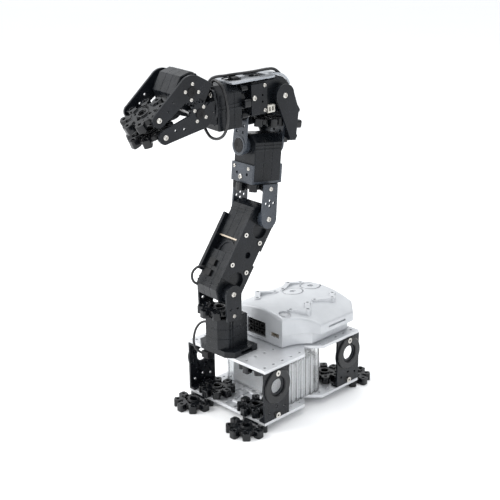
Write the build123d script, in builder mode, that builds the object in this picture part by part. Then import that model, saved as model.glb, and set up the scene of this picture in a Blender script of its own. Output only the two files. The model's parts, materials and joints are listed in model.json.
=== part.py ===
"""A desktop robot arm: a two-deck base with a control box, and a six-servo arm with a geared gripper.

Millimetres, +Z up. The origin is the middle of the base on the surface that its feet stand on,
-Y is the front, where the gripper reaches, and +X is the object's right-hand side, seen from behind.
"""

from build123d import *
import os
from math import acos, cos, pi, radians, sin, tan

os.makedirs("parts", exist_ok=True)

# ---- driving dimensions -------------------------------------------------------------------------
PITCH = 8.0  # hole pitch of the two decks
DECK_W = 9 * PITCH  # across, along X
DECK_L = 92.0  # front to rear, along Y
DECK_T = 2.0
NOTCH = 9.0  # depth of the V cut in each long side
HUB_T = 5.0  # thickness of a joint hub, which also makes the feet
HUB_R = 14.3
LOWER_Z = HUB_T  # underside of the lower deck
UPPER_Z = 41.0  # underside of the upper deck
DECK_TOP = UPPER_Z + DECK_T
SCREW_R = 1.0  # M2
HEAD_R = 1.9
HEAD_H = 1.4
SHEET = 1.4  # bracket and arm plates

SERVO_NOSE = 7.5  # from the horn's axis to the near end of the case
SERVO_TAIL = 22.0  # from the horn's axis to the far end
SERVO_W = 21.0
SERVO_H = 21.0  # case height along the horn's axis
SERVO_SEAM = 3.5  # height of the joint between case and cover, above the middle
HORN_R = 5.7
HORN_GAP = 0.3
ARM_IN = HUB_R  # inner face of a pair of arms, from the middle
ARM_OUT = ARM_IN + SHEET
SHAFT_R = 2.0
SHAFT_FIT = 0.05
SHAFT_REACH = 2.4  # how far a shaft reaches into a servo
BORE_DEPTH = 3.0
RECESS = 0.8  # depth of the recess around a pivot screw

YAW_X, YAW_Y = -8.0, -42.5  # the turning axis of the arm
YAW_TURN = -6.0  # how far the arm is turned at rest, in degrees
MOUNT_H = 4.0
YAW_TOP = DECK_TOP + MOUNT_H + SERVO_H  # top of the base servo's case
SHOULDER_Z = 86.0
LINK_LEN = 52.3
LINK_LEAN = 33.4
UPPER_LEAN = 5.0
TILT_UP = 45.5  # from the elbow axis to the tilt servo's axis
TILT_BACK = 0.5
TILT_TURN = 3.0
WRIST_BACK = 5.0  # from the tilt axis to the wrist axis, to the rear and upwards
WRIST_UP = 33.0
WRIST_PITCH = 8.0
GRIP_PITCH = 21.0


# ---- frames -------------------------------------------------------------------------------------
def frame_in(frame, origin, x_dir=(1, 0, 0), z_dir=(0, 0, 1)):
    """A plane given by its origin and axes in another frame's own coordinates."""
    start = frame.from_local_coords(Vector(*origin))
    along = frame.from_local_coords(Vector(*x_dir)) - frame.origin
    normal = frame.from_local_coords(Vector(*z_dir)) - frame.origin
    return Plane(origin=start, x_dir=along, z_dir=normal)


def pitched(frame, origin, angle):
    """A frame turned about X, so that its rear rises by the angle."""
    a = radians(angle)
    return frame_in(frame, origin, (1, 0, 0), (0, -sin(a), cos(a)))


def rolled(frame, origin, angle):
    """A frame turned about Y, so that its right side falls by the angle."""
    a = radians(angle)
    return frame_in(frame, origin, (cos(a), 0, -sin(a)), (sin(a), 0, cos(a)))


def side(frame, x):
    """Sketch plane that faces +X: its x is the frame's Y and its y is the frame's Z."""
    return frame_in(frame, (x, 0, 0), (0, 1, 0), (1, 0, 0))


def face(frame, y):
    """Sketch plane that faces -Y: its x is the frame's X and its y is the frame's Z."""
    return frame_in(frame, (0, y, 0), (1, 0, 0), (0, -1, 0))


def level(frame, z):
    """Sketch plane that faces +Z."""
    return frame_in(frame, (0, 0, z))


turn = radians(YAW_TURN)
BASE = Plane.XY
TURRET = Plane(origin=(YAW_X, YAW_Y, 0), x_dir=(cos(turn), sin(turn), 0), z_dir=(0, 0, 1))
LINK = pitched(TURRET, (0, 0, SHOULDER_Z), -LINK_LEAN)
ELBOW = TURRET.to_local_coords(LINK.from_local_coords(Vector(0, 0, LINK_LEN)))
UPPER = pitched(TURRET, (0, ELBOW.Y, ELBOW.Z), -UPPER_LEAN)
CARRIAGE = rolled(UPPER, (0, TILT_BACK, TILT_UP), TILT_TURN)
FOREARM = pitched(CARRIAGE, (0, WRIST_BACK, WRIST_UP), WRIST_PITCH)
GRIP_BACK = -66.5  # from the wrist axis to the middle between the two gear axes
GRIP_UP = 6.0
GRIP = pitched(FOREARM, (0, GRIP_BACK, GRIP_UP), GRIP_PITCH)


def save(piece, name):
    piece.label = name
    export_step(piece, f"parts/{name}.step")
    box = piece.bounding_box()
    print(name, [tuple(round(v, 1) for v in corner) for corner in (box.min, box.max)])


def save_group(pieces, name):
    """Identical pieces that share one node, each still a solid of its own."""
    with BuildPart() as together:
        add(pieces)
    save(together.part, name)


# ---- shared shapes ------------------------------------------------------------------------------
HUB_WEB = 3.2  # thickness of a hub's middle
HUB_LOBE = 5.2  # width of a lobe
HUB_COLLAR_R = 4.0
HUB_HOLE_R = 2.6


def hub(plane, thickness=HUB_T, web=HUB_WEB, radius=HUB_R):
    """A joint hub: a round web with eight lobes, a collar, a middle hole and a ring of screw holes."""
    lobe_reach = radius - HUB_LOBE / 2
    with BuildPart() as piece:
        with BuildSketch(plane.offset((thickness - web) / 2)):
            Circle(radius - HUB_LOBE + 0.5)
        extrude(amount=web)
        with BuildSketch(plane):
            Circle(HUB_COLLAR_R)
        extrude(amount=thickness)
        with BuildSketch(plane):
            with PolarLocations(0, 8):
                with Locations((lobe_reach / 2 + 3.6, 0)):
                    Rectangle(lobe_reach - 7.2, HUB_LOBE - 1.6)
                with Locations((lobe_reach, 0)):
                    RectangleRounded(HUB_LOBE, HUB_LOBE, 1.4)
        extrude(amount=thickness)
        with BuildSketch(plane):
            Circle(HUB_HOLE_R)
            with PolarLocations(5.2, 4, start_angle=22.5):
                Circle(0.9)
            with PolarLocations(lobe_reach, 8):
                Circle(SCREW_R)
        extrude(amount=thickness, mode=Mode.SUBTRACT)
    return piece.part


def servo_outline(nose, tail, width=SERVO_W, cut=5.0, rib=0.5):
    """Corner points of a servo, with the horn's axis at the origin and the tail along x."""
    half = width / 2
    upper = [
        (tail, half),
        (2.6, half),
        (2.6, half + rib),
        (1.5, half + rib),
        (1.5, half),
        (0.4, half),
        (0.4, half + rib),
        (-0.7, half + rib),
        (-0.7, half),
        (cut - nose, half),
        (-nose, half - cut),
    ]
    lower = [(x, -y) for x, y in reversed(upper)]
    return upper + lower


def servo(plane, height=SERVO_H, tail=SERVO_TAIL, nose=SERVO_NOSE):
    """Case and cover of one servo. The plane's z is the horn's axis and its x points to the tail."""
    bottom, seam, top = -height / 2, SERVO_SEAM, height / 2
    groove = 0.3
    outline = servo_outline(nose, tail)
    inset = servo_outline(nose - groove, tail - groove, SERVO_W - 2 * groove, rib=0.2)
    with BuildPart() as case:
        with BuildSketch(plane.offset(bottom)):
            with BuildLine():
                Polyline(*outline, close=True)
            make_face()
        extrude(amount=seam - groove - bottom)
        with BuildSketch(plane.offset(seam - groove)):
            with BuildLine():
                Polyline(*inset, close=True)
            make_face()
        extrude(amount=groove)
        with BuildSketch(plane.offset(-seam)):
            with BuildLine():
                Polyline(*servo_outline(nose + 1, tail + 1, SERVO_W + 4), close=True)
            make_face()
            with BuildLine():
                Polyline(*inset, close=True)
            make_face(mode=Mode.SUBTRACT)
        extrude(amount=groove, mode=Mode.SUBTRACT)
        with BuildSketch(plane.offset(bottom)):
            Circle(SHAFT_R + SHAFT_FIT)
        extrude(amount=BORE_DEPTH, mode=Mode.SUBTRACT)
    with BuildPart() as cover:
        with BuildSketch(plane.offset(seam)):
            with BuildLine():
                Polyline(*outline, close=True)
            make_face()
        extrude(amount=top - seam)
        chamfer(cover.faces().sort_by(Axis(plane.origin, plane.z_dir))[-1].edges(), 0.5)
        with BuildSketch(plane.offset(top)):
            Circle(SHAFT_R + SHAFT_FIT)
        extrude(amount=-BORE_DEPTH, mode=Mode.SUBTRACT)
    return case.part, cover.part


def arm(frame, x_sign, outline, end_r=6.0, holes=()):
    """One plate of a pair of arms, with its horn disc and shaft, seen from the side of a frame.

    The horn's axis is the frame's X axis. The outline gives the plate's corners beyond its round end.
    """
    start = x_sign * ARM_IN
    with BuildPart() as piece:
        with BuildSketch(side(frame, start)):
            Circle(end_r)
            with BuildLine():
                Polyline(*outline, close=True)
            make_face()
            for hole in holes:
                with Locations(hole):
                    Circle(SCREW_R, mode=Mode.SUBTRACT)
        extrude(amount=x_sign * SHEET)
        with BuildSketch(side(frame, start)):
            Circle(HORN_R)
        extrude(amount=-x_sign * (ARM_IN - SERVO_H / 2 - HORN_GAP))
        with BuildSketch(side(frame, start)):
            Circle(SHAFT_R)
        extrude(amount=-x_sign * (ARM_IN - SERVO_H / 2 + SHAFT_REACH))
        with BuildSketch(side(frame, x_sign * ARM_OUT)):
            Circle(SHAFT_R)
        extrude(amount=-x_sign * RECESS, mode=Mode.SUBTRACT)
    return piece.part


def lead(frame, points, radius):
    """A cable along straight runs joined by arcs, each as large as its two runs allow."""
    path_points = [frame.from_local_coords(Vector(*p)) for p in points]
    radii = []
    for before, here, after in zip(path_points, path_points[1:], path_points[2:]):
        run_in, run_out = here - before, after - here
        half_turn = radians(run_in.get_angle(run_out)) / 2
        radii.append(0.45 * min(run_in.length, run_out.length) / tan(half_turn))
    print("   radii", [round(r, 1) for r in radii])
    with BuildPart() as piece:
        with BuildLine():
            route = FilletPolyline(*path_points, radius=radii)
        with BuildSketch(Plane(origin=route @ 0, z_dir=route % 0)):
            Circle(radius)
        sweep()
    ratio = piece.part.volume / (pi * radius**2 * route.length)
    print("   length", round(route.length, 1), "volume ratio", round(ratio, 4))
    return piece.part


# ---- base: decks --------------------------------------------------------------------------------
EDGE_W = DECK_W / 2
EDGE_L = DECK_L / 2
DECK_OUTLINE = [
    (-EDGE_W, -EDGE_L),
    (EDGE_W, -EDGE_L),
    (EDGE_W, -NOTCH),
    (EDGE_W - NOTCH, 0),
    (EDGE_W, NOTCH),
    (EDGE_W, EDGE_L),
    (-EDGE_W, EDGE_L),
    (-EDGE_W, NOTCH),
    (NOTCH - EDGE_W, 0),
    (-EDGE_W, -NOTCH),
]
FOOT_X, FOOT_Y = 25.4, 52.0
FOOT_R = 13.3
DECK_HUB_X, DECK_HUB_FRONT, DECK_HUB_REAR = 18.5, -36.8, 31.0
DECK_HUB_R = 12.3
HOLE_Y = [side_of * (2 + PITCH * k) for side_of in (-1, 1) for k in range(1, 6)]
HOLE_ROWS = [(x * PITCH, y) for y in HOLE_Y for x in (-4, -2, 2, 4)]

with BuildPart() as lower_deck:
    with BuildSketch(Plane.XY.offset(LOWER_Z)):
        with BuildLine():
            Polyline(*DECK_OUTLINE, close=True)
        make_face()
        with Locations(*HOLE_ROWS):
            Circle(SCREW_R, mode=Mode.SUBTRACT)
    extrude(amount=DECK_T)
    with BuildSketch(Plane.XY.offset(LOWER_Z + DECK_T)):
        with Locations((0, -EDGE_L / 2 - 6), (0, EDGE_L / 2 + 6)):
            with GridLocations(PITCH, PITCH, 3, 4):
                RectangleRounded(6.2, 6.2, 1.0)
    extrude(amount=-0.8, mode=Mode.SUBTRACT)
save(lower_deck.part, "lower_deck")

with BuildPart() as upper_deck:
    with BuildSketch(Plane.XY.offset(UPPER_Z)):
        with BuildLine():
            Polyline(*DECK_OUTLINE, close=True)
        make_face()
        with Locations(*HOLE_ROWS):
            Circle(SCREW_R, mode=Mode.SUBTRACT)
    extrude(amount=DECK_T)
save(upper_deck.part, "upper_deck")

# ---- base: side brackets with a ring, one near each corner --------------------------------------
BRACKET_W = 22.4
BRACKET_Y = 35.1
BRACKET_H = UPPER_Z - LOWER_Z - DECK_T
RING_Z = 29.5
RING_R = 11.9
RING_HOLE_R = 4.9
FLANGE = 3.6
BRACKET_SCREW_Z = (9.4, 38.6)


def bracket(x_sign, y_centre):
    """A folded side plate with a ring, and a narrow flange against each deck."""
    outer = x_sign * EDGE_W
    with BuildPart() as piece:
        with BuildSketch(side(BASE, outer)):
            with Locations((y_centre, LOWER_Z + DECK_T + BRACKET_H / 2)):
                Rectangle(BRACKET_W, BRACKET_H)
            with Locations((y_centre, RING_Z)):
                Circle(RING_R)
                Circle(RING_HOLE_R, mode=Mode.SUBTRACT)
                with PolarLocations(8.4, 8, start_angle=22.5):
                    Circle(0.9, mode=Mode.SUBTRACT)
            with Locations((y_centre - 7, 13), (y_centre, 15), (y_centre + 7, 13)):
                Circle(SCREW_R, mode=Mode.SUBTRACT)
        extrude(amount=-x_sign * SHEET)
        with BuildSketch(side(BASE, outer)):
            with Locations((y_centre, UPPER_Z + 2)):
                Rectangle(BRACKET_W + 8, 4)
        extrude(amount=-x_sign * SHEET, mode=Mode.SUBTRACT)
        for z in (LOWER_Z + DECK_T, UPPER_Z - SHEET):
            with BuildSketch(level(BASE, z)):
                with Locations((outer - x_sign * (SHEET + FLANGE) / 2, y_centre)):
                    Rectangle(SHEET + FLANGE, BRACKET_W)
            extrude(amount=SHEET)
        with BuildSketch(side(BASE, outer)):
            with Locations((y_centre, RING_Z)):
                Circle(RING_R - 1.4)
                Circle(RING_HOLE_R + 1.3, mode=Mode.SUBTRACT)
        extrude(amount=-x_sign * 0.5, mode=Mode.SUBTRACT)
    return piece.part


BRACKETS = {
    "brackets_front": [(-1, -BRACKET_Y), (1, -BRACKET_Y)],
    "brackets_rear": [(-1, BRACKET_Y), (1, BRACKET_Y)],
}
for name, corners in BRACKETS.items():
    save_group([bracket(x_sign, y_centre) for x_sign, y_centre in corners], name)

# ---- base: feet and deck hubs -------------------------------------------------------------------
FEET = [(x, y, 0) for x in (-FOOT_X, FOOT_X) for y in (-FOOT_Y, FOOT_Y)]
save_group([hub(Plane(origin=centre), radius=FOOT_R) for centre in FEET], "feet")

DECK_HUBS = [
    (x, y, LOWER_Z + DECK_T) for x in (-DECK_HUB_X, DECK_HUB_X) for y in (DECK_HUB_FRONT, DECK_HUB_REAR)
]
DECK_HUBS.append((DECK_HUB_X, DECK_HUB_FRONT + 2.5, UPPER_Z - HUB_T))
save_group([hub(Plane(origin=centre), radius=DECK_HUB_R) for centre in DECK_HUBS], "deck_hubs")

# ---- base: clear housing with the battery inside ------------------------------------------------
BOX_W = 60.0
BOX_FRONT, BOX_REAR = -18.4, 14.0
BOX_WALL = 1.6
BOX_Y = (BOX_FRONT + BOX_REAR) / 2
BOX_L = BOX_REAR - BOX_FRONT
BOX_H = BRACKET_H
RIB_DEPTH = 0.8

with BuildPart() as clear_box:
    with BuildSketch(level(BASE, LOWER_Z + DECK_T)):
        with Locations((0, BOX_Y)):
            RectangleRounded(BOX_W - 2 * RIB_DEPTH, BOX_L, 2.0)
            for x_sign in (-1, 1):
                with Locations((x_sign * (BOX_W / 2 - RIB_DEPTH), 0)):
                    with GridLocations(1, 4.6, 1, 6):
                        Rectangle(2 * RIB_DEPTH, 2.4)
    extrude(amount=BOX_H)
    with BuildSketch(level(BASE, LOWER_Z + DECK_T)):
        with Locations((0, BOX_Y)):
            Rectangle(BOX_W - 2 * RIB_DEPTH - 2 * BOX_WALL, BOX_L - 2 * BOX_WALL)
    extrude(amount=BOX_H - BOX_WALL, mode=Mode.SUBTRACT)
save(clear_box.part, "clear_box")

with BuildPart() as battery_pack:
    with BuildSketch(level(BASE, LOWER_Z + DECK_T)):
        with Locations((0, BOX_Y)):
            RectangleRounded(52, 26, 3.0)
    extrude(amount=26)
    fillet(battery_pack.faces().sort_by(Axis.Z)[-1].edges(), 1.5)
save(battery_pack.part, "battery_pack")

# ---- base: controller ---------------------------------------------------------------------------
CONTROL_FRONT, CONTROL_REAR = -14.0, 49.0
CONTROL_HALF, COVER_HALF = 30.0, 34.8
CONTROL_SEAM = 51.0
CROWN_Z = 66.5  # top of the cover along its middle
CROWN_R = 72.0  # radius of the cover's crown, seen from the front
SUPPORT_Z = 66.0  # top of the corner supports on the cover
SUPPORT_R = 2.3
PORT_X, PORT_Z, PORT_W, PORT_H = -3.1, 51.8, 16.8, 10.8
SOCKET_X, SOCKET_W, SOCKET_H = 13.75, 7.5, 3.0
SLOT_Y, SLOT_Z, SLOT_L, SLOT_H = 24.3, 54.2, 17.0, 1.3
BUTTON_X, BUTTON_Y, BUTTON_R = 16.6, -7.4, 4.0
BUTTON_FIT = 0.06
BUTTON_TRAVEL = 0.8
SUPPORTS = [
    [(15.5, -0.6), (23.2, 7.6), (15.1, 16.3)],
    [(14.8, 23.8), (20.6, 35.3), (14.9, 42.0)],
]
DIALS = [(-6.0, 24.5), (-4.5, 41.0)]


def controller_outline(z, half):
    """The controller from above: cut corners, and a hollow scooped out of its right front corner."""
    corners = [
        (-half, CONTROL_FRONT + 4),
        (4 - half, CONTROL_FRONT),
        (half, CONTROL_FRONT),
        (half, CONTROL_REAR - 8),
        (half - 8, CONTROL_REAR),
        (8 - half, CONTROL_REAR),
        (-half, CONTROL_REAR - 8),
    ]
    with BuildSketch(level(BASE, z)) as outline:
        with BuildLine():
            Polyline(*corners, close=True)
        make_face()
        with BuildLine():
            ThreePointArc((20.6, CONTROL_FRONT - 1), (25.2, -0.4), (36, 8.5))
            Polyline((36, 8.5), (36, CONTROL_FRONT - 1), (20.6, CONTROL_FRONT - 1))
        make_face(mode=Mode.SUBTRACT)
    return outline.sketch


def front_recesses():
    """What is cut from the front wall for the row of ports and the charging socket."""
    with BuildPart() as openings:
        with BuildSketch(face(BASE, CONTROL_FRONT)):
            with Locations((PORT_X, PORT_Z)):
                Rectangle(PORT_W, PORT_H)
            with Locations((SOCKET_X, CONTROL_SEAM)):
                Rectangle(SOCKET_W, SOCKET_H)
        extrude(amount=-3.0)
    return openings.part


with BuildPart() as controller_base:
    extrude(controller_outline(DECK_TOP, CONTROL_HALF), amount=CONTROL_SEAM - DECK_TOP)
    chamfer(controller_base.faces().sort_by(Axis.Z)[0].edges(), 1.2)
    add(front_recesses(), mode=Mode.SUBTRACT)
save(controller_base.part, "controller_base")

with BuildPart() as controller_cover:
    extrude(controller_outline(CONTROL_SEAM, COVER_HALF), amount=CROWN_Z - CONTROL_SEAM)
    with BuildSketch(face(BASE, CONTROL_REAR + 1)):
        with Locations((0, CROWN_Z - CROWN_R)):
            Circle(CROWN_R)
        with Locations((0, CONTROL_SEAM - CROWN_R)):
            Rectangle(2 * CROWN_R, 2 * CROWN_R, mode=Mode.SUBTRACT)
    extrude(amount=CONTROL_REAR - CONTROL_FRONT + 2, mode=Mode.INTERSECT)
    fillet(controller_cover.faces().sort_by(Axis.Z)[-1].edges(), 2.0)
    for points in SUPPORTS:
        for x_sign in (-1, 1):
            ends = [(x_sign * x, y) for x, y in points]
            with BuildSketch(level(BASE, CONTROL_SEAM + 6)):
                with Locations(*ends):
                    Circle(SUPPORT_R)
                for start, end in zip(ends, ends[1:]):
                    with BuildLine():
                        Line(start, end)
                    trace(line_width=2 * SUPPORT_R - 1)
            extrude(amount=SUPPORT_Z - CONTROL_SEAM - 6)
            with BuildSketch(level(BASE, SUPPORT_Z)):
                with Locations(*ends):
                    Circle(SCREW_R)
            extrude(amount=-4, mode=Mode.SUBTRACT)
    with BuildSketch(level(BASE, CROWN_Z + 0.1)):
        with Locations(*DIALS):
            Circle(7.6)
            Circle(6.6, mode=Mode.SUBTRACT)
            Circle(2.2)
    extrude(amount=-1.6, mode=Mode.SUBTRACT)
    with BuildSketch(level(BASE, CROWN_Z)):
        with Locations((BUTTON_X, BUTTON_Y)):
            Circle(BUTTON_R + BUTTON_FIT)
    extrude(amount=-9.0, mode=Mode.SUBTRACT)
    add(front_recesses(), mode=Mode.SUBTRACT)
    with BuildSketch(side(BASE, COVER_HALF)):
        with Locations((SLOT_Y, SLOT_Z)):
            Rectangle(SLOT_L, SLOT_H)
    extrude(amount=-1.2, mode=Mode.SUBTRACT)
save(controller_cover.part, "controller_cover")

with BuildPart() as power_button:
    with BuildSketch(level(BASE, CROWN_Z - 9.0 + BUTTON_TRAVEL + 0.4)):
        with Locations((BUTTON_X, BUTTON_Y)):
            Circle(BUTTON_R)
    extrude(amount=5.7)
    chamfer(power_button.faces().sort_by(Axis.Z)[-1].edges(), 0.5)
save(power_button.part, "power_button")

with BuildPart() as port_panel:
    with BuildSketch(face(BASE, CONTROL_FRONT + 3)):
        with Locations((PORT_X, PORT_Z)):
            Rectangle(PORT_W - 0.4, PORT_H - 0.4)
    extrude(amount=1.0)
    with BuildSketch(face(BASE, CONTROL_FRONT + 2)):
        with Locations((PORT_X, PORT_Z)):
            with GridLocations(5.2, 4.6, 3, 2):
                Rectangle(4.0, 3.4)
                Rectangle(2.6, 2.0, mode=Mode.SUBTRACT)
    extrude(amount=1.6)
save(port_panel.part, "port_panel")

with BuildPart() as charge_socket:
    with BuildSketch(face(BASE, CONTROL_FRONT + 3)):
        with Locations((SOCKET_X, CONTROL_SEAM)):
            Rectangle(SOCKET_W - 0.4, SOCKET_H - 0.4)
            Rectangle(SOCKET_W - 1.6, 0.9, mode=Mode.SUBTRACT)
    extrude(amount=2.2)
save(charge_socket.part, "charge_socket")

# ---- base: turning servo and its mount ----------------------------------------------------------
MOUNT_HALF = 16.7
MOUNT_FRONT, MOUNT_REAR = -49.3, -25.2
YAW_TAIL = 14.5  # the turning servo is shorter behind its axis
YAW_PLANE = Plane(origin=(YAW_X, YAW_Y, YAW_TOP - SERVO_H / 2), x_dir=(0, 1, 0), z_dir=(0, 0, 1))
MOUNT_OUTLINE = [
    (YAW_X - MOUNT_HALF, MOUNT_FRONT + 4),
    (YAW_X - MOUNT_HALF + 5.5, MOUNT_FRONT),
    (YAW_X + MOUNT_HALF - 5.5, MOUNT_FRONT),
    (YAW_X + MOUNT_HALF, MOUNT_FRONT + 4),
    (YAW_X + MOUNT_HALF, MOUNT_REAR),
    (YAW_X - MOUNT_HALF, MOUNT_REAR),
]

with BuildPart() as yaw_mount:
    with BuildSketch(level(BASE, DECK_TOP)):
        with BuildLine():
            Polyline(*MOUNT_OUTLINE, close=True)
        make_face()
    extrude(amount=MOUNT_H)
    for x_sign in (-1, 1):
        with BuildSketch(side(BASE, YAW_X + x_sign * MOUNT_HALF)):
            with Locations((MOUNT_REAR - 9.5, DECK_TOP + MOUNT_H / 2)):
                Rectangle(10, 2)
        extrude(amount=-x_sign * 2.5, mode=Mode.SUBTRACT)
save(yaw_mount.part, "yaw_mount")

yaw_case, yaw_cover = servo(YAW_PLANE, tail=YAW_TAIL)
save(yaw_case, "yaw_servo_case")
save(yaw_cover, "yaw_servo_cover")

LEAD_R = 0.8
PLUG_X, PLUG_Y = -19.6, -47.6
yaw_lead = lead(
    BASE,
    [
        (YAW_X - SERVO_W / 2, -44.5, 60.5),
        (-22.0, -45.4, 60.2),
        (-24.6, -48.4, 56.2),
        (-25.3, -50.2, 50.6),
        (-25.2, -50.8, 44.6),
        (-23.4, -49.6, 39.9),
        (PLUG_X, -47.7, 38.6),
    ],
    LEAD_R,
)
save(yaw_lead, "yaw_lead")

with BuildPart() as lead_plug:
    with BuildSketch(level(BASE, 36.4)):
        with Locations((PLUG_X + 3.0, -46.6)):
            Rectangle(6.0, 4.4)
    extrude(amount=UPPER_Z - 36.4)
save(lead_plug.part, "lead_plug")

# ---- base: screws -------------------------------------------------------------------------------
with BuildPart() as base_screws:
    for x_sign in (-1, 1):
        with BuildSketch(side(BASE, x_sign * EDGE_W)):
            for y in (-BRACKET_Y, BRACKET_Y):
                for z in BRACKET_SCREW_Z:
                    with Locations((y, z)):
                        Circle(HEAD_R)
                        RegularPolygon(0.8, 6, mode=Mode.SUBTRACT)
        extrude(amount=x_sign * HEAD_H)
save(base_screws.part, "base_screws")

# ---- turret: turns on the base servo ------------------------------------------------------------
TURRET_HUB_Z = YAW_TOP + 1.0
YOKE_FOOT = TURRET_HUB_Z - 0.4 - SHOULDER_Z
YOKE = frame_in(TURRET, (0, 0, SHOULDER_Z))

with BuildPart() as turret_horn:
    with BuildSketch(level(TURRET, YAW_TOP + HORN_GAP)):
        Circle(HORN_R)
    extrude(amount=TURRET_HUB_Z - YAW_TOP - HORN_GAP)
    with BuildSketch(level(TURRET, TURRET_HUB_Z)):
        Circle(SHAFT_R)
    extrude(amount=-(TURRET_HUB_Z - YAW_TOP + SHAFT_REACH))
save(turret_horn.part, "turret_horn")
save(hub(level(TURRET, TURRET_HUB_Z)), "turret_hub")

YOKE_OUTLINE = [(-6, 0), (-5.5, YOKE_FOOT), (5.5, YOKE_FOOT), (6, 0)]
YOKE_HOLES = [(0, YOKE_FOOT + 2.9), (-2.6, -9.5), (2.6, -9.5)]
save_group([arm(YOKE, x_sign, YOKE_OUTLINE, holes=YOKE_HOLES) for x_sign in (-1, 1)], "yoke_arms")

# ---- lower link: two servos between side plates -------------------------------------------------
ELBOW_TAIL = 20.0
PLATE_T = 2.4
PLATE_FRONT, PLATE_REAR, PLATE_LOW, PLATE_HIGH = -13.0, 6.5, 6.0, 46.2
PLATE_SCREWS = [(-9.6, 16.3), (3.6, 16.0), (-9.6, 36.8), (3.4, 36.5)]
SCOOP_R = 5.6
SHOULDER_PLANE = frame_in(LINK, (0, 0, 0), (0, 0, 1), (1, 0, 0))
ELBOW_PLANE = frame_in(LINK, (0, 0, LINK_LEN), (0, 0, -1), (1, 0, 0))

shoulder_case, shoulder_cover = servo(SHOULDER_PLANE)
save(shoulder_case, "shoulder_servo_case")
save(shoulder_cover, "shoulder_servo_cover")
elbow_case, elbow_cover = servo(ELBOW_PLANE, tail=ELBOW_TAIL)
save(elbow_case, "elbow_servo_case")
save(elbow_cover, "elbow_servo_cover")


def link_plate(x_sign):
    """A side plate between the shoulder and the elbow, scooped out around both pivots."""
    with BuildPart() as piece:
        with BuildSketch(side(LINK, x_sign * (SERVO_W / 2))):
            with Locations(((PLATE_FRONT + PLATE_REAR) / 2, (PLATE_LOW + PLATE_HIGH) / 2)):
                Rectangle(PLATE_REAR - PLATE_FRONT, PLATE_HIGH - PLATE_LOW)
            with Locations((0, 0), (0, LINK_LEN)):
                Circle(HORN_R + 0.8, mode=Mode.SUBTRACT)
            with Locations((-1, 8.5), (-1, LINK_LEN - 8.5)):
                Circle(SCOOP_R, mode=Mode.SUBTRACT)
            with Locations((-1, LINK_LEN / 2)):
                Circle(2.2, mode=Mode.SUBTRACT)
        extrude(amount=x_sign * PLATE_T)
    return piece.part


save_group([link_plate(x_sign) for x_sign in (-1, 1)], "link_plates")

with BuildPart() as link_spacer:
    with BuildSketch(level(LINK, SERVO_TAIL)):
        with Locations((0, -1)):
            Rectangle(SERVO_W, 13)
    extrude(amount=LINK_LEN - ELBOW_TAIL - SERVO_TAIL)
    with BuildSketch(face(LINK, -7.5)):
        with Locations((0, SERVO_TAIL + 1)):
            Circle(7.5)
            Circle(6.3, mode=Mode.SUBTRACT)
        with Locations((0, SERVO_TAIL - 10)):
            Rectangle(30, 20, mode=Mode.SUBTRACT)
    extrude(amount=0.8)
save(link_spacer.part, "link_spacer")

with BuildPart() as link_trim:
    with BuildSketch(level(LINK, LINK_LEN - ELBOW_TAIL - 1.0)):
        with Locations((0, -9.2)):
            Rectangle(SERVO_W - 1.0, 2.4)
    extrude(amount=1.0)
save(link_trim.part, "link_trim")

with BuildPart() as link_screws:
    for x_sign in (-1, 1):
        with BuildSketch(side(LINK, x_sign * (SERVO_W / 2 + PLATE_T))):
            with Locations(*PLATE_SCREWS):
                Circle(1.5)
                RegularPolygon(0.7, 6, mode=Mode.SUBTRACT)
        extrude(amount=x_sign * 0.7)
save(link_screws.part, "link_screws")

link_lead = lead(
    LINK,
    [
        (-8.2, -SERVO_W / 2, 8.2),
        (-8.6, -13.2, 8.6),
        (-9.6, -16.2, 6.2),
        (-10.2, -17.4, 2.4),
        (-10.0, -16.0, -1.4),
        (-9.2, -13.0, -3.6),
        (-8.6, -SERVO_W / 2, -3.4),
    ],
    LEAD_R,
)
save(link_lead, "link_lead")

with BuildPart() as link_sockets:
    with BuildSketch(face(LINK, -SERVO_W / 2)):
        with Locations((-3.4, 6.4), (-3.4, 13.4)):
            Rectangle(6.0, 4.2)
    extrude(amount=1.6)
save(link_sockets.part, "link_sockets")

# ---- upper link: from the elbow to the tilting servo --------------------------------------------
ELBOW_HUB_Z = 17.0
ELBOW_ARM = [(-6, 0), (-5.5, ELBOW_HUB_Z + HUB_T + 0.4), (5.5, ELBOW_HUB_Z + HUB_T + 0.4), (6, 0)]
ELBOW_HOLES = [(0, 8.6), (0, 12.0), (-3, 10.3), (3, 10.3), (0, ELBOW_HUB_Z + HUB_T / 2)]
TILT_TAIL_Z = TILT_UP - SERVO_TAIL
CLIP_T = 1.5  # sheet of the clips that hold a servo by its tail
TILT_PLANE = frame_in(UPPER, (0, TILT_BACK, TILT_UP), (0, 0, -1), (0, -1, 0))

save_group([arm(UPPER, x_sign, ELBOW_ARM, holes=ELBOW_HOLES) for x_sign in (-1, 1)], "elbow_arms")
save(hub(level(UPPER, ELBOW_HUB_Z)), "elbow_hub")

tilt_case, tilt_cover = servo(TILT_PLANE)
save(tilt_case, "tilt_servo_case")
save(tilt_cover, "tilt_servo_cover")

with BuildPart() as tilt_clip:
    with BuildSketch(level(UPPER, TILT_TAIL_Z - CLIP_T)):
        with Locations((0, TILT_BACK)):
            Rectangle(SERVO_W, SERVO_H + 2 * CLIP_T)
    extrude(amount=CLIP_T)
    for y_sign in (-1, 1):
        inner_y = TILT_BACK + y_sign * SERVO_H / 2
        with BuildSketch(face(UPPER, inner_y)):
            with Locations((0, TILT_TAIL_Z - CLIP_T + 6.0)):
                Rectangle(SERVO_W, 12)
            with Locations((-5, TILT_TAIL_Z + 4), (5, TILT_TAIL_Z + 4)):
                Circle(SCREW_R, mode=Mode.SUBTRACT)
        extrude(amount=-y_sign * CLIP_T)
save(tilt_clip.part, "tilt_clip")

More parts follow.
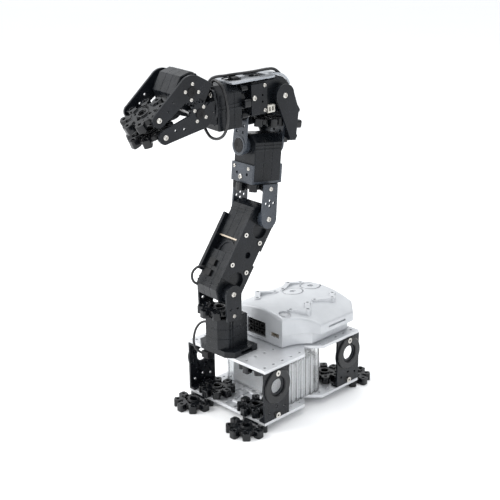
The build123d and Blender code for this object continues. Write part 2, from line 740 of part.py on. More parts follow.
# ---- carriage: tips sideways on the tilting servo and holds the wrist axis ----------------------
CARRIAGE_HUB_Z = 13.0
TILT_FRAME = frame_in(CARRIAGE, (0, 0, 0), (0, -1, 0), (0, 0, 1))
TILT_ARM = [(-6.4, 0), (-5.8, CARRIAGE_HUB_Z + HUB_T + 0.4), (5.8, CARRIAGE_HUB_Z + HUB_T + 0.4), (6.4, 0)]
TILT_HOLES = [(-3, 8.6), (3, 8.6), (-3, 12.6), (3, 12.6)]
BACK_SHEET_Y = ARM_OUT
BACK_HUB_Y = BACK_SHEET_Y + 1.4
BACK_HUB_Z = 14.5
WRIST_FRAME = frame_in(CARRIAGE, (0, WRIST_BACK, WRIST_UP))
CHEEK_OUTLINE = [
    (BACK_HUB_Y - WRIST_BACK, 5.0 - WRIST_UP),
    (BACK_HUB_Y - WRIST_BACK, 24.0 - WRIST_UP),
    (5.4, 4.4),
    (-6.0, -3.6),
    (BACK_HUB_Y - WRIST_BACK - 4.0, 5.0 - WRIST_UP),
]

tilt_plates = [arm(TILT_FRAME, x_sign, TILT_ARM, end_r=6.4, holes=TILT_HOLES) for x_sign in (-1, 1)]
save_group(tilt_plates, "tilt_arms")
save(hub(level(CARRIAGE, CARRIAGE_HUB_Z)), "tilt_hub")
save_group([arm(WRIST_FRAME, x_sign, CHEEK_OUTLINE, end_r=7.0) for x_sign in (-1, 1)], "wrist_cheeks")

with BuildPart() as wrist_back:
    with BuildSketch(face(CARRIAGE, BACK_HUB_Y)):
        with Locations((0, BACK_HUB_Z)):
            Rectangle(2 * ARM_IN, 19)
            Circle(3.0, mode=Mode.SUBTRACT)
    extrude(amount=BACK_HUB_Y - BACK_SHEET_Y)
save(wrist_back.part, "wrist_back")
save(hub(frame_in(CARRIAGE, (0, BACK_HUB_Y, BACK_HUB_Z), (1, 0, 0), (0, 1, 0))), "wrist_back_hub")

# ---- forearm: wrist servo, rolling servo and their clip -----------------------------------------
ROLL_UP = -0.9  # height of the rolling axis in the forearm's frame
ROLL_HUB_Y = -25.5
ROLL_HUB_T = 4.5
ROLL_H = 17.6
ROLL_NOSE, ROLL_TAIL = 12.0, 14.5
ROLL_REAR = ROLL_HUB_Y - ROLL_HUB_T
ROLL_FRONT = ROLL_REAR - ROLL_H
WRIST_PLANE = frame_in(FOREARM, (0, 0, 0), (0, -1, 0), (1, 0, 0))
ROLL_PLANE = frame_in(FOREARM, (0, (ROLL_REAR + ROLL_FRONT) / 2, ROLL_UP), (0, 0, -1), (0, -1, 0))

wrist_case, wrist_cover = servo(WRIST_PLANE)
save(wrist_case, "wrist_servo_case")
save(wrist_cover, "wrist_servo_cover")
roll_case, roll_cover = servo(ROLL_PLANE, height=ROLL_H, tail=ROLL_TAIL, nose=ROLL_NOSE)
save(roll_case, "roll_servo_case")
save(roll_cover, "roll_servo_cover")

with BuildPart() as wrist_clip:
    with BuildSketch(face(FOREARM, -SERVO_TAIL)):
        Rectangle(SERVO_W + 2 * CLIP_T, 18.4)
    extrude(amount=CLIP_T)
    with BuildSketch(face(FOREARM, -SERVO_TAIL - CLIP_T)):
        with Locations((0, ROLL_UP)):
            Circle(7.0)
    extrude(amount=-ROLL_HUB_Y - SERVO_TAIL - CLIP_T)
    for x_sign in (-1, 1):
        with BuildSketch(side(FOREARM, x_sign * SERVO_W / 2)):
            with Locations((-(SERVO_TAIL + CLIP_T) + 6.0, 0)):
                Rectangle(12, 18.4)
            with Locations((-15, -2), (-15, 2)):
                Circle(0.7, mode=Mode.SUBTRACT)
        extrude(amount=x_sign * CLIP_T)
save(wrist_clip.part, "wrist_clip")
roll_hub_plane = frame_in(FOREARM, (0, ROLL_HUB_Y, ROLL_UP), (1, 0, 0), (0, -1, 0))
save(hub(roll_hub_plane, thickness=ROLL_HUB_T), "forearm_hub")

TOP_Z = 11.2
GUARD_IN, GUARD_OUT = 11.4, 12.6
with BuildPart() as top_plate:
    with BuildSketch(level(FOREARM, TOP_Z)):
        with Locations((0, -20)):
            RectangleRounded(22, 34, 2.5)
        with Locations((0, -29)):
            Circle(6.5, mode=Mode.SUBTRACT)
        with Locations((0, -12)):
            RectangleRounded(10, 12, 2.0, mode=Mode.SUBTRACT)
    extrude(amount=1.0)
    with BuildSketch(level(FOREARM, SERVO_W / 2)):
        with Locations((-8, -8), (8, -8), (-8, -17), (8, -17)):
            Circle(1.6)
    extrude(amount=TOP_Z - SERVO_W / 2)
    with BuildSketch(side(FOREARM, -6)):
        Circle(GUARD_OUT)
        Circle(GUARD_IN, mode=Mode.SUBTRACT)
        with BuildLine():
            Polyline((0, 0), (-40, 120), (-60, -60), (60, -60), (90, 30), close=True)
        make_face(mode=Mode.SUBTRACT)
    extrude(amount=12)
save(top_plate.part, "top_plate")

with BuildPart() as wrist_sockets:
    with BuildSketch(side(FOREARM, SERVO_W / 2)):
        with Locations((-8.6, -7.3)):
            Rectangle(5.4, 4.6)
        with Locations((-9.8, -7.3), (-7.4, -7.3)):
            Rectangle(1.6, 2.8, mode=Mode.SUBTRACT)
    extrude(amount=2.0)
save(wrist_sockets.part, "wrist_sockets")

CABLE_R = 0.9
ROLL_TOP = ROLL_UP + ROLL_NOSE
top_lead = lead(
    FOREARM,
    [
        (-2.4, -45.0, ROLL_TOP),
        (-2.0, -43.4, ROLL_TOP + 2.6),
        (-1.6, -39.4, ROLL_TOP + 3.6),
        (-1.6, -33.6, 14.2),
        (-2.8, -25.6, 13.9),
        (-2.6, -17.0, 13.6),
        (-1.6, -9.4, 13.7),
        (0.0, -2.6, 14.4),
        (1.8, 3.6, 14.2),
        (2.6, 6.6, 10.3),
    ],
    CABLE_R,
)
save(top_lead, "top_lead")
side_lead = lead(
    FOREARM,
    [
        (1.0, -45.0, ROLL_TOP),
        (2.4, -45.3, ROLL_TOP + 2.6),
        (7.0, -45.2, ROLL_TOP + 3.4),
        (11.8, -44.8, ROLL_TOP + 0.4),
        (14.0, -43.8, 4.2),
        (14.3, -43.0, -4.4),
        (13.8, -43.4, -12.4),
        (10.2, -44.2, -19.0),
        (3.4, -45.0, -22.0),
        (-3.6, -45.4, -20.8),
        (-7.2, -45.6, ROLL_UP - ROLL_TAIL),
    ],
    CABLE_R,
)
save(side_lead, "side_lead")

# ---- hand: turns on the rolling servo and holds the gripper's servo -----------------------------
HAND_Y = ROLL_FRONT - 1.3
HAND_T = 1.5
GEAR_GAP = 14.4  # distance between the two gear axes
GRIP_TAIL = 15.4
GRIP_BACK_TILT = 30.0
UPPER_PIVOT = frame_in(GRIP, (0, 0, GEAR_GAP / 2))
LOWER_PIVOT = frame_in(GRIP, (0, 0, -GEAR_GAP / 2))
tail_angle = radians(GRIP_PITCH + GRIP_BACK_TILT)
GRIP_PLANE = frame_in(UPPER_PIVOT, (0, 0, 0), (0, cos(tail_angle), -sin(tail_angle)), (1, 0, 0))

with BuildPart() as hand_plate:
    with BuildSketch(face(FOREARM, HAND_Y)):
        with Locations((0, ROLL_UP)):
            Circle(12.6)
            with PolarLocations(10.8, 4, start_angle=45):
                Circle(3.2)
            with PolarLocations(10.8, 4, start_angle=45):
                Circle(SCREW_R, mode=Mode.SUBTRACT)
            with PolarLocations(6.0, 4):
                Circle(SCREW_R, mode=Mode.SUBTRACT)
    extrude(amount=HAND_T)
    with BuildSketch(face(FOREARM, HAND_Y)):
        with Locations((0, ROLL_UP)):
            Circle(HORN_R)
    extrude(amount=-(ROLL_FRONT - HAND_Y - HORN_GAP))
    with BuildSketch(face(FOREARM, HAND_Y)):
        with Locations((0, ROLL_UP)):
            Circle(SHAFT_R)
    extrude(amount=-(ROLL_FRONT - HAND_Y + SHAFT_REACH))
save(hand_plate.part, "hand_plate")

grip_case, grip_cover = servo(GRIP_PLANE, tail=GRIP_TAIL)
save(grip_case, "grip_servo_case")
save(grip_cover, "grip_servo_cover")

CHEEK_T = 1.4
STUB_R = 2.0


def hand_cheek(x_sign):
    """A plate from the hand plate along the servo's side, with the stub that the lower finger turns on."""
    front = HAND_Y - HAND_T
    with BuildPart() as piece:
        with BuildSketch(side(FOREARM, x_sign * SERVO_H / 2)):
            with BuildLine():
                Polyline(
                    (front, 4.0),
                    (front, -10.5),
                    (GRIP_BACK + 0.5, -4.9),
                    (GRIP_BACK + 4.0, 3.4),
                    close=True,
                )
            make_face()
        extrude(amount=x_sign * CHEEK_T)
        with BuildSketch(side(LOWER_PIVOT, x_sign * SERVO_H / 2)):
            Circle(4.4)
        extrude(amount=x_sign * CHEEK_T)
        with BuildSketch(side(LOWER_PIVOT, x_sign * (SERVO_H / 2 + CHEEK_T))):
            Circle(3.0)
        extrude(amount=x_sign * (ARM_IN - SERVO_H / 2 - CHEEK_T - HORN_GAP))
        with BuildSketch(side(LOWER_PIVOT, x_sign * (SERVO_H / 2 + CHEEK_T))):
            Circle(STUB_R)
        extrude(amount=x_sign * (ARM_OUT - SERVO_H / 2 - CHEEK_T))
    return piece.part


save_group([hand_cheek(x_sign) for x_sign in (-1, 1)], "hand_cheeks")

# ---- fingers: each is two plates with gear teeth, joined by a pad -------------------------------
TEETH = 20
PRESSURE = radians(20)
GEAR_R = GEAR_GAP / 2
GEAR_TIP = GEAR_R + 0.6
GEAR_ROOT = GEAR_R - 0.8
BACKLASH = 0.3
HEAD_PLATE_R = 9.4
FINGER_LEN = 26.0
TIP_R = 4.2
UPPER_DROP, LOWER_DROP = 8.1, 0.5  # how far each finger points below the gripper's own axis
UPPER_FINGER = pitched(GRIP, (0, 0, GEAR_GAP / 2), UPPER_DROP)
LOWER_FINGER = pitched(GRIP, (0, 0, -GEAR_GAP / 2), LOWER_DROP)


def gear_outline(phase):
    """Corner points of the gear, with involute flanks. The phase turns its first tooth, in degrees."""
    base = GEAR_R * cos(PRESSURE)
    at_pitch = pi / (2 * TEETH) - BACKLASH / (2 * GEAR_R)
    radii = [GEAR_ROOT, base, (base + GEAR_R) / 2, GEAR_R, (GEAR_R + GEAR_TIP) / 2, GEAR_TIP]
    flank = []
    for r in radii:
        a = acos(min(1.0, base / r))
        flank.append((r, at_pitch + (tan(PRESSURE) - PRESSURE) - (tan(a) - a)))
    points = []
    for tooth in range(TEETH):
        middle = radians(phase) + 2 * pi * tooth / TEETH
        points += [(r * cos(middle - half), r * sin(middle - half)) for r, half in flank]
        points += [(r * cos(middle + half), r * sin(middle + half)) for r, half in reversed(flank)]
    return points


def finger_plate(frame, x_sign, outward, phase, driven):
    """One plate of a finger. Outward is +1 for the upper finger and -1 for the lower one."""
    wedge = [(30 * cos(radians(a)), outward * 30 * sin(radians(a))) for a in (196, 230, 270, 310, 344)]
    with BuildPart() as piece:
        with BuildSketch(side(frame, x_sign * ARM_IN)):
            Circle(HEAD_PLATE_R)
            with BuildLine():
                Polyline((0, 0), *wedge, close=True)
            make_face(mode=Mode.SUBTRACT)
            with BuildLine():
                Polyline(*gear_outline(phase), close=True)
            make_face()
            with BuildLine():
                Polyline(
                    (-3.0, outward * 8.9),
                    (-FINGER_LEN, outward * TIP_R),
                    (-FINGER_LEN, -outward * TIP_R),
                    (-5.6, -outward * 2.6),
                    close=True,
                )
            make_face()
            with Locations((-FINGER_LEN, 0)):
                Circle(TIP_R)
            with PolarLocations(4.5, 4, start_angle=45 - phase):
                Circle(0.8, mode=Mode.SUBTRACT)
            with Locations((-13, outward * 2.4), (-FINGER_LEN + 7.5, 0)):
                Circle(0.8, mode=Mode.SUBTRACT)
            if not driven:
                Circle(STUB_R + SHAFT_FIT, mode=Mode.SUBTRACT)
        extrude(amount=x_sign * SHEET)
        if driven:
            with BuildSketch(side(frame, x_sign * ARM_IN)):
                Circle(HORN_R)
            extrude(amount=-x_sign * (ARM_IN - SERVO_H / 2 - HORN_GAP))
            with BuildSketch(side(frame, x_sign * ARM_IN)):
                Circle(SHAFT_R)
            extrude(amount=-x_sign * (ARM_IN - SERVO_H / 2 + SHAFT_REACH))
            with BuildSketch(side(frame, x_sign * ARM_OUT)):
                Circle(SHAFT_R)
            extrude(amount=-x_sign * RECESS, mode=Mode.SUBTRACT)
    return piece.part


def finger_pad(frame):
    """The pad between two fingertips, a hub that lies along the finger."""
    return hub(frame_in(frame, (0, -FINGER_LEN, -HUB_T / 2)))


tooth_step = 360 / TEETH
upper_plates = [finger_plate(UPPER_FINGER, x_sign, 1, -UPPER_DROP, True) for x_sign in (-1, 1)]
save_group(upper_plates, "upper_finger_plates")
save(finger_pad(UPPER_FINGER), "upper_pad")
lower_phase = tooth_step / 2 - LOWER_DROP
lower_plates = [finger_plate(LOWER_FINGER, x_sign, -1, lower_phase, False) for x_sign in (-1, 1)]
save_group(lower_plates, "lower_finger_plates")
save(finger_pad(LOWER_FINGER), "lower_pad")

print("axes, mm")
AXES = {
    "turret": (TURRET.origin, TURRET.z_dir),
    "shoulder": (LINK.origin, LINK.x_dir),
    "elbow": (UPPER.origin, UPPER.x_dir),
    "tilt": (CARRIAGE.origin, CARRIAGE.y_dir),
    "wrist": (FOREARM.origin, FOREARM.x_dir),
    "roll": (FOREARM.from_local_coords(Vector(0, 0, ROLL_UP)), FOREARM.y_dir * -1),
    "upper_finger": (UPPER_FINGER.origin, UPPER_FINGER.x_dir),
    "lower_finger": (LOWER_FINGER.origin, LOWER_FINGER.x_dir),
}
for name, (origin, direction) in AXES.items():
    print(name, [round(v, 5) for v in origin], [round(v, 6) for v in direction])
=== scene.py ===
"""Looks of a desktop robot arm: a two-deck base with a control box, seven servos and a geared gripper.

Metres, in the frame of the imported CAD: the origin is the middle of the base on the floor, +Z up, -Y front.
Helper functions take millimetres in a body's own frame, as the CAD source does.
"""

import json
from math import cos, pi, radians, sin

import bmesh
import bpy
from mathutils import Matrix, Vector

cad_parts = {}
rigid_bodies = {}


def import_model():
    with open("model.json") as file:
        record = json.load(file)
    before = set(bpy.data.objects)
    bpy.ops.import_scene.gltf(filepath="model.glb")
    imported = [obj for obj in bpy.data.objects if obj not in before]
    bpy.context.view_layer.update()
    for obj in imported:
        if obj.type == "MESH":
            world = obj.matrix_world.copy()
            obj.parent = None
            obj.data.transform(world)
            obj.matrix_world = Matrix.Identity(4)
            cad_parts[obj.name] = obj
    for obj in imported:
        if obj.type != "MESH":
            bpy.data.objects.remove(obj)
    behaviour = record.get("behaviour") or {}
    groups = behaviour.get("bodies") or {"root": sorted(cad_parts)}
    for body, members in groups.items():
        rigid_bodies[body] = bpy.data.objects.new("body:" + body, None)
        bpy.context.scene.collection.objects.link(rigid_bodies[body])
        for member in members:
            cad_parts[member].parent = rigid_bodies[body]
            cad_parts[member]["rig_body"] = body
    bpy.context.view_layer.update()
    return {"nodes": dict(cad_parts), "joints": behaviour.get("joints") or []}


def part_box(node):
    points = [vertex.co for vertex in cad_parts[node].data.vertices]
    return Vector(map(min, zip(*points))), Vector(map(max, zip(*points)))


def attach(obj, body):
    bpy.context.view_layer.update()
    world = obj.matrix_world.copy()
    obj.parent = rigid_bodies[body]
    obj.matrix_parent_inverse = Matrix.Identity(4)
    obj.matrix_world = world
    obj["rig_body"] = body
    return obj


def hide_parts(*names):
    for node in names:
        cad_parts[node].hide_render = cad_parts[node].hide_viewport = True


MM = 0.001

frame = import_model()
nodes = frame["nodes"]


# ---- frames of the bodies ----------------------------------------------------------------------
def basis(origin, x, y, z):
    """A matrix from millimetres in a body's frame to metres in the row frame."""
    columns = Matrix((x, y, z)).transposed().to_4x4()
    return Matrix.Translation(origin) @ columns @ Matrix.Scale(MM, 4)


def joint_axis(name):
    found = next(j for j in frame["joints"] if j["name"] == name)
    return Vector(found["pos_m"]), Vector(found["axis"]).normalized()


def pitched(local, origin, degrees):
    """A frame turned about its X axis, so that its rear rises."""
    return local @ Matrix.Translation(origin) @ Matrix.Rotation(radians(degrees), 4, "X")


up = Vector((0, 0, 1))
yaw_at, _ = joint_axis("base_yaw")
shoulder_at, shoulder_x = joint_axis("shoulder_pitch")
elbow_at, elbow_x = joint_axis("elbow_pitch")
tilt_at, tilt_y = joint_axis("forearm_tilt")
wrist_at, wrist_x = joint_axis("wrist_pitch")
roll_at, roll_forward = joint_axis("wrist_roll")
upper_at, _ = joint_axis("gripper_open")
lower_at, _ = joint_axis("gripper_follow")
link_z = (elbow_at - shoulder_at).normalized()
grip_z = (upper_at - lower_at).normalized()
BASE = basis(Vector(), Vector((1, 0, 0)), Vector((0, 1, 0)), up)
TURRET = basis(Vector((yaw_at.x, yaw_at.y, 0)), shoulder_x, up.cross(shoulder_x), up)
LINK = basis(shoulder_at, shoulder_x, link_z.cross(shoulder_x), link_z)
UPPER = basis(elbow_at, elbow_x, tilt_y, elbow_x.cross(tilt_y))
CARRIAGE = basis(tilt_at, wrist_x, tilt_y, wrist_x.cross(tilt_y))
FOREARM = basis(wrist_at, wrist_x, -roll_forward, wrist_x.cross(-roll_forward))
GRIP = basis((upper_at + lower_at) / 2, wrist_x, grip_z.cross(wrist_x), grip_z)
GEAR_RADIUS = 7.2
UPPER_TURN, LOWER_TURN = 8.1, 0.5
UPPER_FINGER = pitched(GRIP, (0, 0, GEAR_RADIUS), UPPER_TURN)
LOWER_FINGER = pitched(GRIP, (0, 0, -GEAR_RADIUS), LOWER_TURN)


# ---- materials ---------------------------------------------------------------------------------
class Nodes:
    """One material's node tree, with its Principled shader."""

    def __init__(self, name):
        self.material = bpy.data.materials.new(name)
        self.material.use_nodes = True
        self.tree = self.material.node_tree
        self.shader = next(n for n in self.tree.nodes if n.type == "BSDF_PRINCIPLED")
        self.place = self.add("ShaderNodeTexCoord").outputs["Object"]

    def add(self, kind, **settings):
        node = self.tree.nodes.new(kind)
        for key, value in settings.items():
            setattr(node, key, value)
        return node

    def link(self, source, target):
        self.tree.links.new(source, target)

    def stretched(self, scale):
        node = self.add("ShaderNodeMapping")
        node.inputs["Scale"].default_value = scale
        self.link(self.place, node.inputs["Vector"])
        return node.outputs["Vector"]

    def noise(self, scale, detail=4.0, place=None):
        node = self.add("ShaderNodeTexNoise")
        node.inputs["Scale"].default_value = scale
        node.inputs["Detail"].default_value = detail
        self.link(place or self.place, node.inputs["Vector"])
        return node.outputs["Fac"]

    def spread(self, value, low, high, start=0.35, end=0.65):
        node = self.add("ShaderNodeMapRange")
        node.inputs["From Min"].default_value = start
        node.inputs["From Max"].default_value = end
        node.inputs["To Min"].default_value = low
        node.inputs["To Max"].default_value = high
        self.link(value, node.inputs["Value"])
        return node.outputs["Result"]

    def mixed(self, value, first, second):
        node = self.add("ShaderNodeMix", data_type="RGBA")
        self.link(value, node.inputs["Factor"])
        for socket, colour in (("A", first), ("B", second)):
            target = next(s for s in node.inputs if s.name == socket and s.type == "RGBA")
            if isinstance(colour, tuple):
                target.default_value = (*colour, 1.0)
            else:
                self.link(colour, target)
        return next(s for s in node.outputs if s.type == "RGBA")

    def edge_nearness(self, radius):
        """How near a point is to a sharp edge, from 0 to 1, and the normal with that edge rounded."""
        soft = self.add("ShaderNodeBevel", samples=4)
        soft.inputs["Radius"].default_value = radius
        flat = self.add("ShaderNodeNewGeometry")
        turn = self.add("ShaderNodeVectorMath", operation="DOT_PRODUCT")
        self.link(soft.outputs["Normal"], turn.inputs[0])
        self.link(flat.outputs["Normal"], turn.inputs[1])
        return self.spread(turn.outputs["Value"], 1.0, 0.0, 0.75, 0.99), soft.outputs["Normal"]

    def bump(self, height, distance, strength, normal=None):
        node = self.add("ShaderNodeBump")
        node.inputs["Distance"].default_value = distance
        node.inputs["Strength"].default_value = strength
        self.link(height, node.inputs["Height"])
        if normal:
            self.link(normal, node.inputs["Normal"])
        return node.outputs["Normal"]

    def finish(self, colour, roughness, normal, **fixed):
        self.link(colour, self.shader.inputs["Base Color"])
        self.link(roughness, self.shader.inputs["Roughness"])
        self.link(normal, self.shader.inputs["Normal"])
        for name, value in fixed.items():
            self.shader.inputs[name.replace("_", " ")].default_value = value
        return self.material


def moulded(name, dark, light, edge_wear_and_highlight, rough, grain=1400.0, edge=0.0003, depth=0.00004, **fixed):
    """Moulded plastic or coated sheet: clouded colour, a fine grain and lighter edges, partly rubbed wear
    and partly a painted highlight along each sharp edge.
    """
    n = Nodes(name)
    clouds = n.noise(55.0, 3.0)
    fine = n.noise(grain, 2.0)
    near_edge, soft = n.edge_nearness(edge)
    body = n.mixed(n.spread(clouds, 0.0, 1.0), dark, light)
    # painted highlight and wear: sharp edges take the lighter edge colour, patchy through noise
    wear_and_highlight = n.add("ShaderNodeMath", operation="MULTIPLY")
    n.link(near_edge, wear_and_highlight.inputs[0])
    n.link(n.spread(n.noise(420.0), 0.15, 0.75), wear_and_highlight.inputs[1])
    colour = n.mixed(wear_and_highlight.outputs["Value"], body, edge_wear_and_highlight)
    roughness = n.spread(n.noise(260.0, 5.0), rough[0], rough[1])
    return n.finish(colour, roughness, n.bump(fine, depth, 0.35, soft), **fixed)


METAL_DEPTH = 0.00002
GLINT = 1.25


def metal(name, dark, light, rough, stretch, metallic, edge=0.0003):
    """Brushed or blasted metal, whose grain is drawn out by three scales along X, Y and Z."""
    n = Nodes(name)
    grain = n.noise(1.0, 3.0, n.stretched(stretch))
    clouds = n.noise(40.0, 4.0)
    near_edge, soft = n.edge_nearness(edge)
    body = n.mixed(n.spread(clouds, 0.0, 1.0), dark, light)
    # painted highlight: every sharp edge is lighter by GLINT
    colour = n.mixed(near_edge, body, tuple(min(1.0, c * GLINT) for c in light))
    roughness = n.spread(grain, rough[0], rough[1])
    n.shader.inputs["Metallic"].default_value = metallic
    return n.finish(colour, roughness, n.bump(grain, METAL_DEPTH, 0.3, soft))


DULL = {"Specular_IOR_Level": 0.28}
# The third colour of each moulded finish is its edge colour, lighter as wear and as a painted highlight.
servo_black = moulded(
    "servo_black",
    (0.0035, 0.0045, 0.006),
    (0.0075, 0.009, 0.012),
    (0.055, 0.062, 0.075),
    (0.22, 0.36),
    **DULL,
)
hub_black = moulded(
    "hub_black",
    (0.003, 0.0035, 0.0045),
    (0.006, 0.007, 0.009),
    (0.07, 0.07, 0.072),
    (0.10, 0.22),
    grain=700.0,
    edge=0.00045,
    depth=0.00006,
    Specular_IOR_Level=0.4,
)
sheet_black = moulded(
    "sheet_black",
    (0.004, 0.005, 0.007),
    (0.008, 0.0095, 0.013),
    (0.11, 0.12, 0.14),
    (0.24, 0.38),
    grain=2200.0,
    edge=0.00025,
    **DULL,
)
dark_black = moulded(
    "dark_black", (0.002, 0.002, 0.0025), (0.006, 0.006, 0.007), (0.02, 0.02, 0.021), (0.45, 0.6), **DULL
)
cover_silver = moulded(
    "cover_silver",
    (0.50, 0.515, 0.535),
    (0.56, 0.575, 0.595),
    (0.72, 0.735, 0.75),
    (0.30, 0.42),
    grain=2600.0,
    edge=0.0005,
    depth=0.000025,
    Metallic=0.35,
)
button_silver = moulded(
    "button_silver", (0.42, 0.43, 0.45), (0.5, 0.51, 0.53), (0.7, 0.7, 0.72), (0.25, 0.38), Metallic=0.3
)
plug_cream = moulded(
    "plug_cream", (0.62, 0.60, 0.54), (0.72, 0.70, 0.64), (0.8, 0.78, 0.72), (0.3, 0.45), edge=0.0002
)
battery_grey = moulded(
    "battery_grey", (0.78, 0.79, 0.80), (0.86, 0.87, 0.88), (0.9, 0.9, 0.9), (0.35, 0.6), grain=300.0
)
deck_silver = metal(
    "deck_silver", (0.60, 0.61, 0.63), (0.68, 0.69, 0.71), (0.34, 0.46), (60, 2600, 2600), 0.55
)
socket_metal = metal(
    "socket_metal", (0.42, 0.35, 0.27), (0.62, 0.56, 0.48), (0.2, 0.4), (3000, 200, 3000), 0.9, edge=0.0001
)
nickel = metal(
    "nickel", (0.50, 0.48, 0.45), (0.68, 0.66, 0.62), (0.14, 0.30), (900, 900, 900), 1.0, edge=0.0001
)
top_bright = metal(
    "top_bright", (0.30, 0.32, 0.35), (0.42, 0.44, 0.47), (0.12, 0.24), (2400, 90, 2400), 0.7
)
arm_blue = moulded(
    "arm_blue",
    (0.026, 0.032, 0.042),
    (0.046, 0.055, 0.070),
    (0.24, 0.26, 0.30),
    (0.22, 0.34),
    grain=2200.0,
    edge=0.00025,
)


def cable_black():
    n = Nodes("cable_black")
    clouds = n.noise(220.0, 3.0)
    fine = n.noise(3200.0, 2.0)
    colour = n.mixed(n.spread(clouds, 0.0, 1.0), (0.008, 0.008, 0.009), (0.02, 0.02, 0.022))
    return n.finish(colour, n.spread(clouds, 0.28, 0.42), n.bump(fine, 0.00003, 0.4))


def clear_plastic():
    n = Nodes("clear_plastic")
    waves = n.noise(120.0, 2.0)
    tint = n.mixed(n.spread(waves, 0.0, 1.0), (0.93, 0.95, 0.965), (0.98, 0.985, 0.99))
    _, soft = n.edge_nearness(0.0004)
    return n.finish(
        tint,
        n.spread(n.noise(400.0), 0.03, 0.12),
        n.bump(waves, 0.0004, 0.25, soft),
        Transmission_Weight=0.88,
        IOR=1.47,
    )


cable = cable_black()
clear = clear_plastic()

BY_SLOT = {
    "deck_metal": deck_silver,
    "black_sheet": sheet_black,
    "servo_plastic": servo_black,
    "hub_plastic": hub_black,
    "clear_plastic": clear,
    "battery_wrap": battery_grey,
    "cover_plastic": cover_silver,
    "dark_plastic": dark_black,
    "socket_metal": socket_metal,
    "screw_metal": nickel,
    "cable_jacket": cable,
    "plug_plastic": plug_cream,
    "button_plastic": button_silver,
}
BY_NODE = {
    "top_plate": top_bright,
    "tilt_arms": arm_blue,
    "tilt_clip": arm_blue,
    "elbow_arms": arm_blue,
    "link_sockets": dark_black,
    "lead_plug": dark_black,
    "link_trim": socket_metal,
}


def slot_of(node):
    found = node.data.materials[0].name
    return next(s for s in BY_SLOT if found.startswith(s))


SLOTS = {name: slot_of(node) for name, node in nodes.items()}
FINISHES = {name: BY_NODE.get(name) or BY_SLOT[SLOTS[name]] for name in nodes}
for name, node in nodes.items():
    for index in range(len(node.data.materials)):
        node.data.materials[index] = FINISHES[name]


# ---- mesh helpers ------------------------------------------------------------------------------
SMOOTH_ANGLE = 0.6
SCREW_SIDES, RING_SIDES = 28, 56


def piece(name, mesh_maker, material, body):
    """A new object from a bmesh, shaded smooth up to an angle, that rides on a body."""
    mesh = bpy.data.meshes.new(name)
    mesh_maker.to_mesh(mesh)
    mesh_maker.free()
    mesh.materials.append(material)
    for polygon in mesh.polygons:
        polygon.use_smooth = True
    made = bpy.data.objects.new(name, mesh)
    bpy.context.scene.collection.objects.link(made)
    mesh.set_sharp_from_angle(angle=SMOOTH_ANGLE)
    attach(made, body)
    return made


def lathe(mesh_maker, place, profile, count):
    """A turned solid around a local Z axis, closed at both ends.

    The profile is (height, radius) pairs, where a radius is a number or a function of the angle.
    """
    loops = []
    for height, radius in profile:
        loop = []
        for k in range(count):
            a = 2 * pi * k / count
            r = radius(a) if callable(radius) else radius
            loop.append(mesh_maker.verts.new(place @ Vector((r * cos(a), r * sin(a), height))))
        loops.append(loop)
    for low, high in zip(loops, loops[1:]):
        for k in range(count):
            mesh_maker.faces.new((low[k], low[(k + 1) % count], high[(k + 1) % count], high[k]))
    mesh_maker.faces.new(list(reversed(loops[0])))
    mesh_maker.faces.new(loops[-1])


def hexagon(radius):
    """Radius of a hexagon at an angle, from half the distance between its flats."""
    return lambda a: radius / cos((a % (pi / 3)) - pi / 6)


def toward(local, at, direction):
    """A matrix whose Z axis points along a direction of a body's frame, in that frame's millimetres."""
    z = Vector(direction).normalized()
    turn = z.to_track_quat("Z", "X").to_matrix().to_4x4()
    return local @ Matrix.Translation(Vector(at)) @ turn


def screw(mesh_maker, place, radius, height, socket):
    """A button-head screw with a rounded rim and a hexagonal socket."""
    profile = [
        (-0.2, radius * 0.9),
        (0.0, radius),
        (height * 0.35, radius),
        (height * 0.72, radius * 0.9),
        (height * 0.95, radius * 0.68),
        (height, socket + 0.22),
        (height - 0.06, hexagon(socket)),
        (height - 0.75 * min(height, 1.0), hexagon(socket * 0.94)),
    ]
    lathe(mesh_maker, place, profile, SCREW_SIDES)


def screws(name, body, local, rows):
    """Screws of one body as one piece: each row is a place, a direction and a screw's sizes."""
    mesh_maker = bmesh.new()
    for at, direction, radius, height, socket in rows:
        screw(mesh_maker, toward(local, at, direction), radius, height, socket)
    return piece(name, mesh_maker, nickel, body)


BEVEL_WIDTH = 0.32
FLAT_ANGLE, EDGE_ANGLE = 1.5, 35.0


def refined(node):
    """A bevelled copy of a CAD node that takes its place, with real rounded edges."""
    source = nodes[node]
    mesh_maker = bmesh.new()
    mesh_maker.from_mesh(source.data)
    bmesh.ops.remove_doubles(mesh_maker, verts=mesh_maker.verts, dist=1e-6)
    bmesh.ops.dissolve_limit(
        mesh_maker, angle_limit=radians(FLAT_ANGLE), verts=mesh_maker.verts, edges=mesh_maker.edges
    )
    made = piece(node + "_form", mesh_maker, FINISHES[node], source["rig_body"])
    bevel = made.modifiers.new("edges", "BEVEL")
    bevel.width = BEVEL_WIDTH * MM
    bevel.segments = 2
    bevel.limit_method = "ANGLE"
    bevel.angle_limit = radians(EDGE_ANGLE)
    bevel.use_clamp_overlap = False
    bevel.harden_normals = True
    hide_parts(node)
    return made


# ---- camera, light and floor -------------------------------------------------------------------
eye = Vector((0.3967, -0.4097, 0.2904))
target = Vector((-0.03672, 0.01358, 0.09182))
roll = radians(-0.70)
ahead = (target - eye).normalized()
right = ahead.cross(up).normalized()
over = right.cross(ahead)
right, over = right * cos(roll) + over * sin(roll), over * cos(roll) - right * sin(roll)
camera_data = bpy.data.cameras.new("camera")
camera_data.lens = 65.6
camera_data.sensor_width = 36.0
camera = bpy.data.objects.new("camera", camera_data)
camera.matrix_world = Matrix.Translation(eye) @ Matrix((right, over, -ahead)).transposed().to_4x4()
bpy.context.scene.collection.objects.link(camera)
bpy.context.scene.camera = camera


LIT_AT = Vector((0, 0, 0.1))


